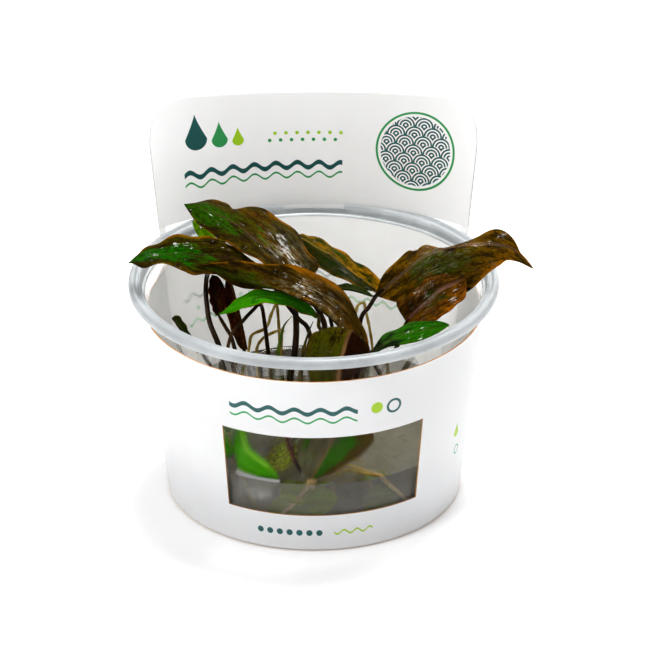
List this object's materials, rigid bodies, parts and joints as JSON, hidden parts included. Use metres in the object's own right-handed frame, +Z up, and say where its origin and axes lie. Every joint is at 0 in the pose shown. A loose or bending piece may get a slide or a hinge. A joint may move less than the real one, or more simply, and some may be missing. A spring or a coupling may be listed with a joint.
{
  "type": "potted cryptocoryne nurii",
  "caption": "Small water plant with long bronze and green leaves, rooted in clear gel in a round clear cup inside a card sleeve with a front window and a raised header.",
  "frame": {"origin": "centre of the cup's flat base, on the surface it stands on", "axes": "+Z up through the cup; +Y towards the header card at the back, so the window faces -Y; +X to the right seen from the window's side"},
  "size_m": [0.1098, 0.101, 0.0962],
  "materials": {
    "clear_plastic": "clear, slightly hazy moulded plastic",
    "gel": "clear jelly with a grey-brown tint",
    "printed_card": "white coated card, satin",
    "leaf_green": "wet, glossy leaf",
    "leaf_bronze": "wet, glossy leaf",
    "stalk": "smooth, wet",
    "root": "smooth, wet"
  },
  "bodies": {
    "root": {"card_sleeve": "printed_card", "crown_back": "root", "crown_front": "root", "crown_front_right": "root", "crown_left": "root", "crown_middle": "root", "crown_right": "root", "cup": "clear_plastic", "leaf_back": "leaf_bronze", "leaf_back_left": "leaf_bronze", "leaf_floating": "leaf_green", "leaf_folded": "leaf_bronze", "leaf_left": "leaf_bronze", "leaf_long": "leaf_bronze", "leaf_right": "leaf_bronze", "leaf_right_front": "leaf_green", "leaf_right_lower": "leaf_bronze", "leaf_slim": "leaf_bronze", "leaf_small_left": "leaf_green", "leaf_upright": "leaf_bronze", "leaf_upright_slim": "leaf_bronze", "leaf_wall": "leaf_bronze", "leaf_window_left": "leaf_green", "leaf_window_middle": "leaf_green", "leaf_window_side": "leaf_green", "leaf_young": "leaf_green", "nutrient_gel": "gel", "root_front": "root", "root_left": "root", "root_middle": "root", "root_right": "root", "shoot_green": "leaf_green", "shoot_olive": "leaf_green", "stalk_back": "stalk", "stalk_back_left": "stalk", "stalk_floating": "stalk", "stalk_folded": "stalk", "stalk_left": "stalk", "stalk_long": "stalk", "stalk_right": "stalk", "stalk_right_front": "stalk", "stalk_right_lower": "stalk", "stalk_slim": "stalk", "stalk_small_left": "stalk", "stalk_upright": "stalk", "stalk_upright_slim": "stalk", "stalk_wall": "stalk", "stalk_window_left": "stalk", "stalk_young": "stalk"}
  },
  "joints": []
}
